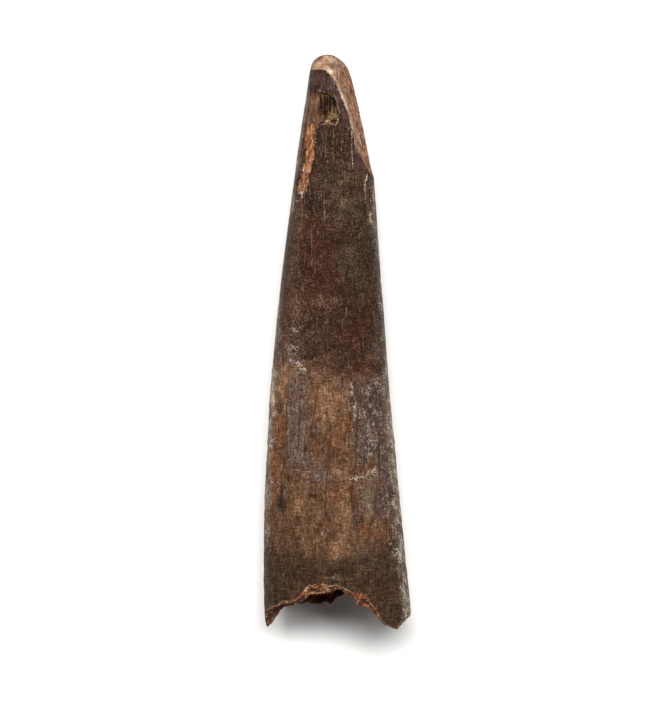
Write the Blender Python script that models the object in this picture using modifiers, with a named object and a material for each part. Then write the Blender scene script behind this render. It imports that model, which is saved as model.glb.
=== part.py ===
"""A fossil pterosaur tooth: one solid, with a hollow root that ends in a broken edge.

The tooth lies on its back. Its tip points along +Y, its width is along X, and the
side that looks up is its front. Heights run along the tooth from the plane of the
lowest prongs of the broken root. Angles go round the section, from the right flank
(0 degrees) over the front (90) and the left flank (180) to the back (270).
An empty carries the tooth and its cutters, and puts the middle of the tooth's
underside at the origin.
"""

import math

import bmesh
import bpy
import numpy as np
from mathutils import Matrix, Quaternion, Vector

MM = 0.001

# The taper that everything else is worked out from
CROWN_HEIGHT = 52.2 * MM
ROOT_HALF_WIDTH = 6.62 * MM
TIP_HALF_WIDTH = 2.4 * MM
TAPER_POWER = 1.4
CAP_HEIGHT = 1.7 * MM  # the rounded end of the tip
CAP_POWER = 3.2  # 2 is an ellipse, and more is blunter

# The section is an oval, wider than it is deep
ROOT_DEPTH_SHARE = 0.76
TIP_DEPTH_SHARE = 0.84

# The centreline bows to the left, and the back is a shallow arch between two flats
SIDE_BOW = 0.80 * MM
BOW_SKEW = 0.86  # under 1 brings the widest bow nearer the root
ARCH_RISE = 0.50 * MM
ARCH_START = 6.0 * MM
ARCH_END = 47.0 * MM
FLAT_DEPTH = 0.09 * MM  # taken off the back where the tooth rests

# The pulp cavity, a blunt cone inside the root
WALL = 0.95 * MM
CAVITY_HEIGHT = 22.0 * MM
CAVITY_POWER = 0.62

# The broken edge of the root: (angle in degrees, height in millimetres)
BROKEN_EDGE = (
    (2, 1.45), (12, 1.35), (22, 1.20), (28, 0.75), (33, 0.55), (37, 0.14), (44, 0.20),
    (49, 0.50), (53, 0.75), (58, 1.35), (65, 2.15), (74, 2.35), (79, 3.05), (89, 3.80),
    (97, 3.42), (111, 3.35), (118, 2.65), (125, 2.33), (137, 2.35), (148, 2.10),
    (166, 1.90), (180, 1.85), (199, 1.90), (208, 2.10), (225, 2.20), (242, 2.50),
    (255, 2.20), (259, 2.40), (264, 2.15), (269, 2.95), (278, 3.25), (288, 3.30),
    (300, 2.85), (315, 2.50), (330, 2.00), (346, 1.60),
)
# How far the outer skin has crumbled back from it, or still stands past it, where it is
# negative: (angle in degrees, millimetres)
SKIN_LOSS = (
    (50, 0.0), (57, 0.6), (66, 0.9), (80, 0.8), (86, 0.2), (95, 0.7), (110, 0.8),
    (120, 0.4), (137, 0.25), (150, 0.0), (166, -0.15), (172, -0.25), (178, -0.55),
    (183, -1.0), (189, -1.35), (199, -1.5), (206, -1.4), (211, -1.1), (216, -0.2),
    (224, 0.0), (230, 0.1), (260, 0.4), (290, 0.1),
)
EDGE_REACH = 11.0 * MM  # how far up the root the rings bend to follow the edge

# The wear facet on the right flank below the tip: a plane, and its reach along the tooth
FACET_POINT = Vector((1.56, 45.8, 2.60)) * MM
FACET_NORMAL = Vector((1.0, 0.2975, 0.333))
FACET_REACH = (3.9 * MM, 9.0 * MM)  # towards the root, and past the tip
FACET_LEAN = 1.0  # its root end is a slope of 45 degrees
# The worn corner at the very top
APEX_POINT = Vector((0.22, 51.1, 2.2)) * MM
APEX_NORMAL = Vector((0.62, 0.78, 0.20))
APEX_REACH = (5.0 * MM, 5.0 * MM)
APEX_LEAN = 0.0
CUTTER_WIDTH = 12.0 * MM
CUTTER_DEPTH = 5.0 * MM

# The chips in the front: x and height, radii across and along, depth, turn in degrees
PIT = ((-1.13 * MM, 47.1 * MM), (1.05 * MM, 1.60 * MM), 0.45 * MM, 4.0)
PIT_SLOPE = 0.75  # its floor's size as a share of its mouth's
SPALL = ((-2.71 * MM, 43.6 * MM), (0.58 * MM, 3.50 * MM), 0.28 * MM, -7.0)
SCAR = ((2.72 * MM, 38.3 * MM), (0.36 * MM, 2.40 * MM), 0.22 * MM, 5.0)
CHIP_SIDES = 20

SEGMENTS = 80
OUTER_RINGS = 38
CAVITY_RINGS = 11

ENAMEL_BROWN = (0.075, 0.042, 0.026, 1.0)
ENAMEL_ROUGHNESS = 0.42
SHARP_ANGLE = math.radians(32.0)


def half_width(height):
    """The taper: full at the root, and thinner by a power of the height."""
    drop = ROOT_HALF_WIDTH - TIP_HALF_WIDTH
    return ROOT_HALF_WIDTH - drop * (height / CROWN_HEIGHT) ** TAPER_POWER


def cap_share(height):
    """A quarter of a blunt ellipse, which closes the taper over the last CAP_HEIGHT."""
    above = np.clip((height - CROWN_HEIGHT + CAP_HEIGHT) / CAP_HEIGHT, 0.0, 1.0)
    return (1.0 - above**CAP_POWER) ** (1.0 / CAP_POWER)


def cavity_radius(height):
    """The pulp cavity: the wall's thickness inside the taper, closing to a point."""
    share = np.clip(1.0 - height / CAVITY_HEIGHT, 0.0, 1.0) ** CAVITY_POWER
    return (half_width(height) - WALL) * share


def depth_share(height):
    """How deep the section is for its width."""
    return ROOT_DEPTH_SHARE + (TIP_DEPTH_SHARE - ROOT_DEPTH_SHARE) * height / CROWN_HEIGHT


def bow(height):
    """How far the centreline stands off to the left."""
    along = np.clip(height / CROWN_HEIGHT, 0.0, 1.0)
    return -SIDE_BOW * np.sin(math.pi * along**BOW_SKEW)


def middle_height(height):
    """How high the section's centre is: its half depth, on top of the arched back."""
    along = np.clip((height - ARCH_START) / (ARCH_END - ARCH_START), 0.0, 1.0)
    arch = ARCH_RISE * np.sin(math.pi * along) - FLAT_DEPTH
    return half_width(height) * depth_share(height) + arch


def round_the_edge(table, angle):
    """A table's millimetres at an angle in degrees, joined up straight from point to point."""
    angles, lengths = zip(*table)
    return np.interp(angle, angles, lengths, period=360.0) * MM


def profile_points():
    """The turned profile: from the apex down the outside, over the rim and up the cavity.

    The outer steps shrink towards both ends, as a cosine, where the shape needs them.
    """
    outer_steps = np.linspace(0.0, 1.0, OUTER_RINGS)
    outer_heights = CROWN_HEIGHT * 0.5 * (1.0 + np.cos(math.pi * outer_steps))
    outer_radii = half_width(outer_heights) * cap_share(outer_heights)
    cavity_heights = CAVITY_HEIGHT * np.linspace(0.0, 1.0, CAVITY_RINGS)
    radii = np.concatenate([outer_radii, cavity_radius(cavity_heights)])
    heights = np.concatenate([outer_heights, cavity_heights])
    return [(radius, 0.0, height) for radius, height in zip(radii, heights)]


def evaluated_mesh(obj):
    """The object's mesh with its modifiers, as a new mesh."""
    graph = bpy.context.evaluated_depsgraph_get()
    return bpy.data.meshes.new_from_object(obj.evaluated_get(graph))


def turned_blank(collection):
    """A round, upright tooth with its cavity, turned about Z from the profile."""
    points = profile_points()
    edges = [(start, start + 1) for start in range(len(points) - 1)]
    mesh = bpy.data.meshes.new("tooth_profile")
    mesh.from_pydata(points, edges, [])
    profile = bpy.data.objects.new("tooth_profile", mesh)
    collection.objects.link(profile)
    screw = profile.modifiers.new("turn", "SCREW")
    screw.steps = screw.render_steps = SEGMENTS
    screw.use_merge_vertices = True
    screw.merge_threshold = 1e-6
    blank = evaluated_mesh(profile)
    bpy.data.objects.remove(profile)
    return blank


def lay_down(mesh):
    """Lays the blank on its back, and gives it its oval, bow, arch and broken edge.

    A height grows by the broken edge's own, in full at the rim and fading up the root.
    The outer skin's grows by what has crumbled off as well.
    """
    points = np.empty(len(mesh.vertices) * 3)
    mesh.vertices.foreach_get("co", points)
    right, behind, height = points.reshape(-1, 3).T
    radius = np.hypot(right, behind)
    angle = np.arctan2(-behind, right)
    degrees = np.degrees(angle)
    on_skin = radius > half_width(height) - WALL / 2.0
    lift = round_the_edge(BROKEN_EDGE, degrees) + on_skin * round_the_edge(SKIN_LOSS, degrees)
    height = height + lift * np.clip(1.0 - height / EDGE_REACH, 0.0, 1.0) ** 2
    x = bow(height) + radius * np.cos(angle)
    z = middle_height(height) + radius * np.sin(angle) * depth_share(height)
    laid = np.column_stack([x, height, np.maximum(z, 0.0)])
    mesh.vertices.foreach_set("co", laid.ravel())
    mesh.update()


def front_point(x, height):
    """The point of the front at x and a height along the tooth."""
    width = half_width(height)
    off = (x - bow(height)) / width
    rise = width * depth_share(height) * math.sqrt(1.0 - off**2)
    return Vector((x, height, middle_height(height) + rise))


def front_normal(x, height):
    """The outward direction of the front there, from two short steps along it."""
    step = 0.05 * MM
    across = front_point(x + step, height) - front_point(x - step, height)
    along = front_point(x, height + step) - front_point(x, height - step)
    return across.cross(along).normalized()


def facing(normal, turn=0.0):
    """The rotation with Z along the normal and Y towards the tip, turned about Z."""
    normal = normal.normalized()
    tip = Vector((0.0, 1.0, 0.0))
    along = (tip - normal * tip.dot(normal)).normalized()
    upright = Matrix((along.cross(normal), along, normal)).transposed().to_quaternion()
    return (upright @ Quaternion((0.0, 0.0, 1.0), math.radians(turn))).to_euler()


def wedge_cutter(name, point, normal, reach, lean, collection):
    """A block whose underside is the plane through the point.

    It reaches towards the root and towards the tip, and its root end leans back by
    lean for each unit of height.
    """
    to_root, to_tip = reach
    size = Matrix.Diagonal((CUTTER_WIDTH, to_root + to_tip, CUTTER_DEPTH, 1.0))
    place = Matrix.Translation((0.0, (to_tip - to_root) / 2.0, CUTTER_DEPTH / 2.0))
    mesh = bpy.data.meshes.new(name)
    block = bmesh.new()
    bmesh.ops.create_cube(block, size=1.0, matrix=place @ size)
    for vertex in block.verts:
        if vertex.co.y < 0.0:
            vertex.co.y -= vertex.co.z * lean
    block.to_mesh(mesh)
    block.free()
    cutter = bpy.data.objects.new(name, mesh)
    cutter.location = point
    cutter.rotation_euler = facing(normal)
    collection.objects.link(cutter)
    return cutter


def pit_cutter(collection):
    """An oval with a flat floor and sloping sides, sunk into the front."""
    (x, height), (across, along), depth, turn = PIT
    mesh = bpy.data.meshes.new("pit_cutter")
    plug = bmesh.new()
    bmesh.ops.create_cone(
        plug, cap_ends=True, segments=CHIP_SIDES, radius1=PIT_SLOPE, radius2=2.0 - PIT_SLOPE,
        depth=2.0, matrix=Matrix.Diagonal((across, along, depth, 1.0)),
    )
    plug.to_mesh(mesh)
    plug.free()
    return chip_object(mesh, x, height, turn, collection)


def hollow_cutter(name, chip, collection):
    """A stretched ball, half sunk into the front."""
    (x, height), (across, along), depth, turn = chip
    mesh = bpy.data.meshes.new(name)
    ball = bmesh.new()
    bmesh.ops.create_uvsphere(
        ball, u_segments=CHIP_SIDES, v_segments=CHIP_SIDES // 2, radius=1.0,
        matrix=Matrix.Diagonal((across, along, depth, 1.0)),
    )
    ball.to_mesh(mesh)
    ball.free()
    return chip_object(mesh, x, height, turn, collection)


def chip_object(mesh, x, height, turn, collection):
    """A chip's cutter in its place, standing on the front."""
    cutter = bpy.data.objects.new(mesh.name, mesh)
    cutter.location = front_point(x, height)
    cutter.rotation_euler = facing(front_normal(x, height), turn)
    collection.objects.link(cutter)
    return cutter


def cut(tooth, cutter):
    """Takes the cutter's shape out of the tooth, and hides the cutter."""
    cutter.hide_render = True
    cutter.display_type = "WIRE"
    boolean = tooth.modifiers.new(cutter.name, "BOOLEAN")
    boolean.operation = "DIFFERENCE"
    boolean.solver = "EXACT"
    boolean.object = cutter


def enamel_material():
    material = bpy.data.materials.new("fossil_enamel")
    material.use_nodes = True
    shader = material.node_tree.nodes["Principled BSDF"]
    shader.inputs["Base Color"].default_value = ENAMEL_BROWN
    shader.inputs["Roughness"].default_value = ENAMEL_ROUGHNESS
    shader.inputs["Metallic"].default_value = 0.0
    return material


def centre_on_origin(tooth, place):
    """Moves the empty so that the middle of the tooth's underside is at the origin."""
    bpy.context.view_layer.update()
    mesh = evaluated_mesh(tooth)
    corners = np.empty(len(mesh.vertices) * 3)
    mesh.vertices.foreach_get("co", corners)
    corners = corners.reshape(-1, 3)
    bpy.data.meshes.remove(mesh)
    lowest, highest = corners.min(axis=0), corners.max(axis=0)
    middle = (lowest + highest) / 2.0
    place.location = (-middle[0], -middle[1], -lowest[2])
    bpy.context.view_layer.update()


def main():
    for obj in list(bpy.data.objects):
        bpy.data.objects.remove(obj)
    parts = bpy.data.collections.new("pterosaur_tooth")
    cutters = bpy.data.collections.new("cutters")
    bpy.context.scene.collection.children.link(parts)
    bpy.context.scene.collection.children.link(cutters)

    mesh = turned_blank(parts)
    lay_down(mesh)
    mesh.name = "tooth"
    mesh.materials.clear()
    mesh.materials.append(enamel_material())
    mesh.shade_smooth()
    mesh.set_sharp_from_angle(angle=SHARP_ANGLE)
    tooth = bpy.data.objects.new("tooth", mesh)
    parts.objects.link(tooth)

    facet = (FACET_POINT, FACET_NORMAL, FACET_REACH, FACET_LEAN)
    apex = (APEX_POINT, APEX_NORMAL, APEX_REACH, APEX_LEAN)
    chips = [
        wedge_cutter("facet_cutter", *facet, cutters),
        wedge_cutter("apex_cutter", *apex, cutters),
        pit_cutter(cutters),
        hollow_cutter("spall_cutter", SPALL, cutters),
        hollow_cutter("scar_cutter", SCAR, cutters),
    ]
    for cutter in chips:
        cut(tooth, cutter)

    place = bpy.data.objects.new("tooth_place", None)
    parts.objects.link(place)
    for obj in [tooth, *chips]:
        obj.parent = place
    centre_on_origin(tooth, place)


main()
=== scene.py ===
"""The looks of a fossil pterosaur tooth: one surface, its finishes, a floor, lights and a camera.

The tooth lies on its back with its tip towards +Y. Its shape is worked out in
millimetres from the same formulas as the solid it stands for. A height runs along
the tooth from the plane of the lowest prongs of the broken root. An angle goes round
the section from the right flank (0 degrees) over the front (90) and the left flank
(180) to the back (270).
"""

import itertools
import math
from collections import namedtuple

import bpy
import numpy as np
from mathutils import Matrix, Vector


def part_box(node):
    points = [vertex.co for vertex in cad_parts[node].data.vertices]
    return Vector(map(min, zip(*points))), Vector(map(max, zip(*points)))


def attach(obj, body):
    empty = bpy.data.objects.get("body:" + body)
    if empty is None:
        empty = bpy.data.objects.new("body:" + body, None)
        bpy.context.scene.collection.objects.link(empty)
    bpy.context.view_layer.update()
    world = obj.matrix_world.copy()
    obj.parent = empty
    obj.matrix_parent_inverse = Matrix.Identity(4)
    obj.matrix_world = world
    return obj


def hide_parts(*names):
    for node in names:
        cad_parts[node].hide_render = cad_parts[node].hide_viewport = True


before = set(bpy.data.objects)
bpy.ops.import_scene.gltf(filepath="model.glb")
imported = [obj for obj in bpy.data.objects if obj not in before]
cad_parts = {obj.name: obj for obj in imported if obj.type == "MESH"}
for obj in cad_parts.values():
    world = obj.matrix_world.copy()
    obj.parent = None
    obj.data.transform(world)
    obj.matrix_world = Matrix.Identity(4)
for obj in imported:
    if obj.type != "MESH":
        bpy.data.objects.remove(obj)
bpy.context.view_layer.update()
LOWEST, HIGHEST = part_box("tooth")

MM = 0.001
SEED = 7
TINY = 1e-9  # keeps a division by a length of 0 from failing
FAR_OFF = 1e3  # in mm, further than any point is from another

# ---------------------------------------------------------------- the tooth's shape, in mm

CROWN_HEIGHT = 52.2
ROOT_HALF_WIDTH = 6.62
TIP_HALF_WIDTH = 2.4
TAPER_POWER = 1.4
CAP_HEIGHT = 1.7
CAP_POWER = 3.2
ROOT_DEPTH_SHARE = 0.76
TIP_DEPTH_SHARE = 0.84
SIDE_BOW = 0.80
BOW_SKEW = 0.86
ARCH_RISE = 0.50
ARCH_START = 6.0
ARCH_END = 47.0
FLAT_DEPTH = 0.09
WALL = 0.95
CAVITY_HEIGHT = 22.0
CAVITY_POWER = 0.62

# The broken edge of the root: (angle in degrees, height)
BROKEN_EDGE = (
    (2, 1.45), (12, 1.35), (22, 1.20), (28, 0.75), (33, 0.55), (37, 0.14), (44, 0.20),
    (49, 0.50), (53, 0.75), (58, 1.35), (65, 2.15), (74, 2.35), (79, 3.05), (89, 3.80),
    (97, 3.42), (111, 3.35), (118, 2.65), (125, 2.33), (137, 2.35), (148, 2.10),
    (166, 1.90), (180, 1.85), (199, 1.90), (208, 2.10), (225, 2.20), (242, 2.50),
    (255, 2.20), (259, 2.40), (264, 2.15), (269, 2.95), (278, 3.25), (288, 3.30),
    (300, 2.85), (315, 2.50), (330, 2.00), (346, 1.60),
)
# How far the outer skin has crumbled back from it, or stands past it, where it is negative
SKIN_LOSS = (
    (20, 0.05), (50, 0.05), (56, 0.35), (60, 0.5), (68, 0.65), (78, 0.45), (86, 0.2),
    (95, 0.45), (100, 0.85), (112, 0.85), (120, 0.6), (135, 0.25), (150, 0.0), (166, -0.15),
    (172, -0.25), (178, -0.55), (183, -1.0), (189, -1.35), (199, -1.5), (206, -1.4),
    (211, -1.1), (216, -0.2), (224, 0.0), (230, 0.1), (260, 0.4), (290, 0.15), (340, 0.05),
)
EDGE_REACH = 11.0
EDGE_CRUMBLE = 0.20  # the small ups and downs of the broken edge
CRUMBLE_BUMPS = 6.0  # how many of them there are to a stretch as long as the radius
NIBBLE_BUMPS = 7.0  # the same for the notches in the lost skin's edge
NIBBLE_DEPTH = 0.6  # as a share of what is lost
LEAST_LIFT = 0.05  # the lowest that the edge comes down to

# The wear facet: a shallow trough along a plane on the right flank below the tip
FACET_POINT = (1.56, 45.8, 2.60)
FACET_NORMAL = (1.0, 0.2975, 0.333)
FACET_DISH = 0.16
FACET_HALF_WIDTH = 2.2
# Its left border, which is drawn onto this line of points (x, height) in mm
LIP = (
    (-1.91, 51.4), (-1.12, 50.7), (-0.55, 50.05), (-0.14, 49.05), (0.23, 47.95),
    (0.69, 46.9), (1.08, 45.45), (1.21, 44.55), (1.21, 41.8),
)
LIP_PULL = 1.1  # how far into the facet that line still bends it
FACET_FOOT = (1.17, 44.5, -1.32)  # its ragged root end: x, height there, and slope across
FACET_FOOT_SPAN = (-1.0, 2.2)  # how far to either side of that x the slope goes on
FACET_FOOT_LENGTH = 0.9
FACET_FOOT_RAGGED = 0.35
FACET_ROUGHNESS = 0.04
FACET_CORNER = 0.06
FACET_BORDER = (-0.05, 0.07)  # its look starts and is full where the skin stood so far out of it
# The worn corner at the very top, and the worn dome that slopes up to it from the front
APEX_POINT = (0.22, 51.1, 2.2)
APEX_NORMAL = (0.70, 0.69, 0.20)
DOME_POINT = (-1.5, 50.5, 4.22)
DOME_NORMAL = (0.30, 0.50, 0.81)
APEX_CORNER = 0.25

# The camera's frame. A mark on the front is placed by the column and the row where it shows:
# x = (column - AXIS_COLUMN) * PIXEL, height = (EDGE_ROW - row) * PIXEL, both in mm
FRAME_ROWS = 702
FRAME_HEIGHT = 63.48  # what its rows take in, in mm
PIXEL = FRAME_HEIGHT / FRAME_ROWS
AXIS_COLUMN = 339.1  # where x is 0
EDGE_ROW = 630.5  # where the height is 0

# Outlines on the front, as points (column, row)
CAP = (
    (307, 72), (309, 62), (314, 56), (321, 52), (334, 52), (341, 58), (337, 63), (336.5, 68),
    (336, 74), (334, 80), (331, 77), (328, 73.5), (322, 70.5), (317, 69), (312, 69.5),
)
FLAME = (
    (336, 61), (342, 62), (347, 69), (350, 78), (350, 92), (346, 86), (342, 78), (338, 70),
)
PIT = (
    (319, 95), (321, 92.5), (327, 93.5), (330, 96.5), (334, 98.5), (336.3, 103), (338, 112),
    (337.5, 121), (330, 123.5), (324, 122.5), (320, 118), (318, 107),
)
GOLD = (
    (323.5, 117), (328, 115.5), (332, 110), (336, 109), (338.5, 116), (337, 120), (331, 120),
    (330, 123), (325, 123),
)
APRON = (
    (306, 98.5), (312, 93), (320, 94), (320, 108), (321, 120), (316, 131), (314, 137), (303, 137),
    (302, 124), (303, 108),
)
SPALL = (
    (305.5, 129), (309, 123), (313, 122), (314, 130), (314, 143), (314.5, 152), (313, 162),
    (310, 172), (307, 181), (306, 192), (297, 192), (298, 182), (301, 172), (303.5, 162),
    (304.5, 152), (304.5, 142),
)
RIM_LEFT = (
    (289, 602), (295, 595), (303, 589), (311, 584), (322, 582), (332, 585), (332, 593), (312, 597),
    (300, 607),
)
RIM_RIGHT = (
    (351, 591), (358, 588), (367, 595), (375, 606), (381, 617), (375, 620), (364, 608), (354, 601),
)
SHADE = (
    (311, 72), (322, 72), (328, 76), (334, 83), (338, 91), (341, 98), (345, 108), (347.5, 117),
    (349.5, 129), (344, 127), (341, 115), (338.5, 105), (336.5, 97), (333, 92), (326, 90),
    (318, 86), (310, 84),
)
PLUM = (
    (352.5, 147), (357, 150), (361, 156), (366, 164), (369, 170), (352.5, 171),
)
# What each outline marks, and how soft and how ragged its border is, in mm
PATCHES = {
    "pit": ((PIT, 0.13, 0.12),),
    "apron": ((APRON, 0.55, 0.12),),
    "gold": ((GOLD, 0.16, 0.12),),
    "ember": ((SPALL, 0.14, 0.22),),
    "cap": ((CAP, 0.14, 0.20),),
    "flame": ((FLAME, 0.22, 0.12),),
    "shade": ((SHADE, 0.25, 0.12), (PLUM, 0.30, 0.12)),
    "rim": ((RIM_LEFT, 0.50, 0.40), (RIM_RIGHT, 0.40, 0.30)),
}
PIT_DEPTH = 0.42
APRON_DEPTH = 0.12
SPALL_DEPTH = 0.12
GROOVE_DEPTH = 0.18
GOLD_RISE = 0.16
CREST_RISE = 0.05

# Pale crests and specks: half width in mm, strength, and then their points (column, row). Those along
# the facet's left border are partly a painted highlight on that crest
PALE_LINES = (
    (0.26, 1, (325, 64), (329, 69), (332.5, 74), (334.5, 79)),
    (0.17, 1, (334.5, 79), (337.3, 84), (340, 91), (343, 98), (346.3, 106), (348.7, 113),
     (350.5, 121), (352, 129)),
    (0.06, 0.9, (352, 129), (351.5, 146), (352.3, 158), (353, 169)),
    (0.1, 0.9, (353, 128), (357, 135), (360, 141), (364, 150), (367, 157), (371.5, 169)),
    (0.09, 0.8, (353, 143.5), (358, 147), (361, 152), (366, 160), (370.5, 169)),
    (0.06, 0.7, (360, 140), (363, 144.5), (366, 152)),
    (0.1, 0.6, (342, 60), (348, 69), (352, 79), (355, 91), (357, 103), (359.5, 117)),
    (0.05, 0.6, (349, 104), (353, 116), (355.5, 128), (359, 136)),
    (0.05, 0.5, (345, 96), (351, 108), (355, 120)),
    (0.09, 1, (319, 90.5), (321.5, 91.5), (327, 92.8), (330, 95.3), (335, 97.5), (336.7, 101),
     (337.7, 107), (339.7, 113.5)),
    (0.08, 0.8, (338, 116), (338, 121), (336, 125.3), (330, 124.2), (326, 124), (321, 125.5)),
    (0.14, 0.9, (325, 121.5), (327, 121)),
    (0.09, 0.9, (313.3, 119), (313.8, 128), (315.2, 135), (316, 143)),
    (0.06, 0.6, (312, 148), (310.5, 157)),
    (0.16, 0.8, (306.6, 158), (306.3, 164)),
    (0.1, 0.9, (303.5, 168), (302.8, 172)),
    (0.1, 0.6, (308, 169), (306, 176), (304.5, 181)),
    (0.07, 0.8, (306.3, 180), (306.2, 195)),
    (0.06, 0.6, (300.5, 182), (300.8, 191)),
    (0.1, 1, (298, 192.5), (302.5, 192.8), (302, 198.5)),
    (0.06, 0.9, (296.5, 201), (300, 201.2)),
    (0.11, 0.9, (366.7, 175), (366.5, 180), (365, 183)),
    (0.16, 1, (364.6, 184), (365.1, 191)),
    (0.11, 0.7, (365.5, 192), (365.3, 201), (367, 206), (369, 208)),
    (0.05, 0.6, (372.5, 176), (373, 195)),
    (0.07, 0.9, (368, 188.3), (373, 188.3)),
    (0.08, 0.9, (373, 186), (373, 197), (374, 209)),
    (0.09, 0.9, (370.5, 214), (372.5, 213.5), (374, 219), (372, 226), (369.5, 220)),
    (0.12, 0.8, (369.5, 214), (371, 221), (373, 227)),
    (0.07, 0.6, (373.5, 204), (375.5, 222)),
    (0.15, 0.8, (291, 360), (292.5, 366)),
    (0.14, 0.9, (297, 363), (300, 367.5), (304.5, 371)),
    (0.1, 0.6, (305, 372), (307, 380)),
    (0.12, 0.8, (351, 383), (352.5, 391), (351, 396)),
    (0.12, 0.8, (354, 397), (356, 404), (354, 409)),
    (0.13, 0.9, (352.5, 409), (355, 413.5), (357, 409)),
    (0.09, 0.7, (357, 419), (361, 416), (365, 417)),
    (0.08, 0.6, (361, 430), (364, 433), (367, 431)),
    (0.11, 0.7, (343, 481.5), (349, 479.5), (354, 477.8), (361, 477)),
    (0.1, 0.9, (361, 478), (366, 476), (369, 470), (376, 467)),
    (0.16, 0.9, (369, 475), (373, 471), (376, 469)),
    (0.1, 0.8, (368, 479.5), (374, 478), (377.5, 471)),
    (0.08, 0.6, (347, 483), (351, 485.5)),
    (0.09, 0.7, (369, 449), (374, 447), (377, 445)),
    (0.12, 0.8, (371, 457), (372, 451), (375, 448)),
    (0.3, 1, (273, 388), (273.5, 400), (274, 416)),
    (0.1, 0.8, (272.5, 441), (276, 443)),
    (0.1, 0.6, (280.5, 404), (284, 407)),
    (0.1, 0.5, (283, 373), (287, 385)),
    (0.09, 0.7, (337, 574), (342, 579)),
    (0.08, 0.6, (330, 569), (335, 566), (339, 562)),
    (0.06, 0.8, (313.5, 120), (314.5, 130), (313.5, 139), (314, 147)),
    (0.06, 0.8, (313, 151), (310, 158), (309, 165)),
    (0.07, 0.8, (306.5, 168), (303.5, 174), (302.5, 181)),
    (0.36, 0.6, (316, 63), (321, 64.5), (326, 68)),
    (0.34, 0.9, (327, 69), (332, 75), (335, 81)),
    (0.1, 0.7, (299, 181), (298, 189)),
    (0.09, 0.7, (303.5, 184), (304, 192)),
)
# Grooves in the pit's floor, beside the spall and in the scar, in the same form: their near black is
# painted shade in the grooves, and beside the spall a painted shadow
SHADED_GROOVES = (
    (0.19, 1.9, (324, 99), (324, 118)),
    (0.09, 1.2, (329, 96.5), (329, 112)),
    (0.09, 0.9, (334, 101), (334, 113)),
    (0.08, 0.8, (319, 97), (319, 112)),
    (0.09, 0.9, (331, 121.5), (335.5, 121.5)),
    (0.08, 0.8, (315, 150), (313.5, 163), (311, 173), (307.5, 182)),
    (0.07, 0.6, (305, 131), (305, 143), (306, 150)),
    (0.08, 0.7, (370, 190), (370, 202), (371, 211)),
)
# Small dark pores in the root: column, row, half width in mm, strength
PORES = (
    (327, 413, 0.11, 1), (315.5, 427, 0.13, 1), (343, 426, 0.09, 0.9), (280, 449, 0.09, 0.8),
    (325, 441, 0.09, 0.9), (305, 449, 0.11, 0.9), (314, 465, 0.1, 0.9), (317.5, 473, 0.09, 0.9),
    (312, 481, 0.09, 0.8), (324, 464, 0.09, 0.8), (279, 463, 0.1, 0.8), (337, 456, 0.09, 0.8),
    (310, 503, 0.09, 0.8), (330, 468, 0.08, 0.8), (301, 487, 0.08, 0.7), (296, 505, 0.09, 0.7),
)
PORE_SLANT = (0.4, 0.6)  # from a pore's one end to its other, in columns and rows
ROOT_EDGE = (23.6, -1.1, 0.6)  # where the enamel ends: its height, slope across, raggedness
ROOT_FADE = (1.5, 1.8)  # how far below that edge the root's look is full, and above it gone
FOOT_EDGE = (7.0, 1.1, 1.5)  # where the dark foot ends: its height, rise at the flanks, raggedness
FOOT_FADE = (2.8, 3.4)
BRUSHED = (35.0, 42.0)  # the heights between which the crown turns to brushed all round
BRUSHED_BAND = (-3.6, 0.7, 26.0)  # a brushed band lower down: its x, half width, lower end
BRUSHED_COVER = (0.5, 0.8)  # how brushed the rest of the crown is, and how much those are
LIP_HEIGHT = 0.13  # how far up the pale lip of the broken edge reaches
# The dust on the flanks, which is also a painted sheen where they turn away from above: the cosines
# of the angle between which it sets in, right and left, how thick it is and how much that wanders,
# and its shares on the crown and the foot's left
DUST_SHEEN_RIGHT = (0.76, 0.99)
DUST_SHEEN_LEFT = (0.80, 0.995)
DUST_SHEEN_COVER = 0.90
DUST_SHEEN_WANDER = 0.9
DUST_SHEEN_ON_CROWN = 0.65
DUST_SHEEN_ON_FOOT = 0.2

# Noises over the skin: the size of their lumps in mm, how many times longer those are along
# the tooth, and what is added to the seed
NOISES = {
    "facet": (0.7, 1.0, 3), "notches": (0.4, 1.0, 4), "streaks": (0.16, 7.0, 6),
    "chips": (0.35, 1.0, 14), "root_edge": (3.0, 1.0, 7), "foot_edge": (2.4, 1.0, 15),
    "dust_and_sheen": (1.5, 1.0, 16), "swells": (4.0, 1.0, 10), "rings": (5.0, 0.084, 8),
    "flutes": (0.45, 14.0, 9), "grain": (0.5, 1.0, 11),
}
# Those that make its relief: their depth on the crown, and how much deeper they are on the root
RELIEF = {
    "swells": (0.040, 0.0), "rings": (0.012, 0.006), "flutes": (0.008, 0.018),
    "grain": (0.010, 0.045),
}
SOOT_DEPTH = 0.05
CHALK_RISE = 0.03

# Rows of points along the tooth: how many in each stretch, and where the stretches end
CAP_ROWS = 16
CROWN_ROWS = 104
MIDDLE_ROWS = 150
EDGE_ROWS = 42
CROWN_END = 40.0
MIDDLE_END = 5.0
BREAK_ROWS = 8
CAVITY_ROWS = 24
COLUMNS = 280
FRONT_CROWDING = 0.3  # how much closer the columns stand on the front than on the back
BREAK_LUMP = 0.35  # the size of the lumps on the broken face
BREAK_ROUGHNESS = 0.16
CAVITY_LUMP = 1.1
CAVITY_ROUGHNESS = 0.05  # as a share of the cavity's radius
CAVITY_RIM = 1.5  # how far in from the rim that comes up to its full strength
CAVITY_CROWDING = 1.2  # the power by which its rows stand closer at the rim

# ---------------------------------------------------------------- marks on the surface

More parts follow.
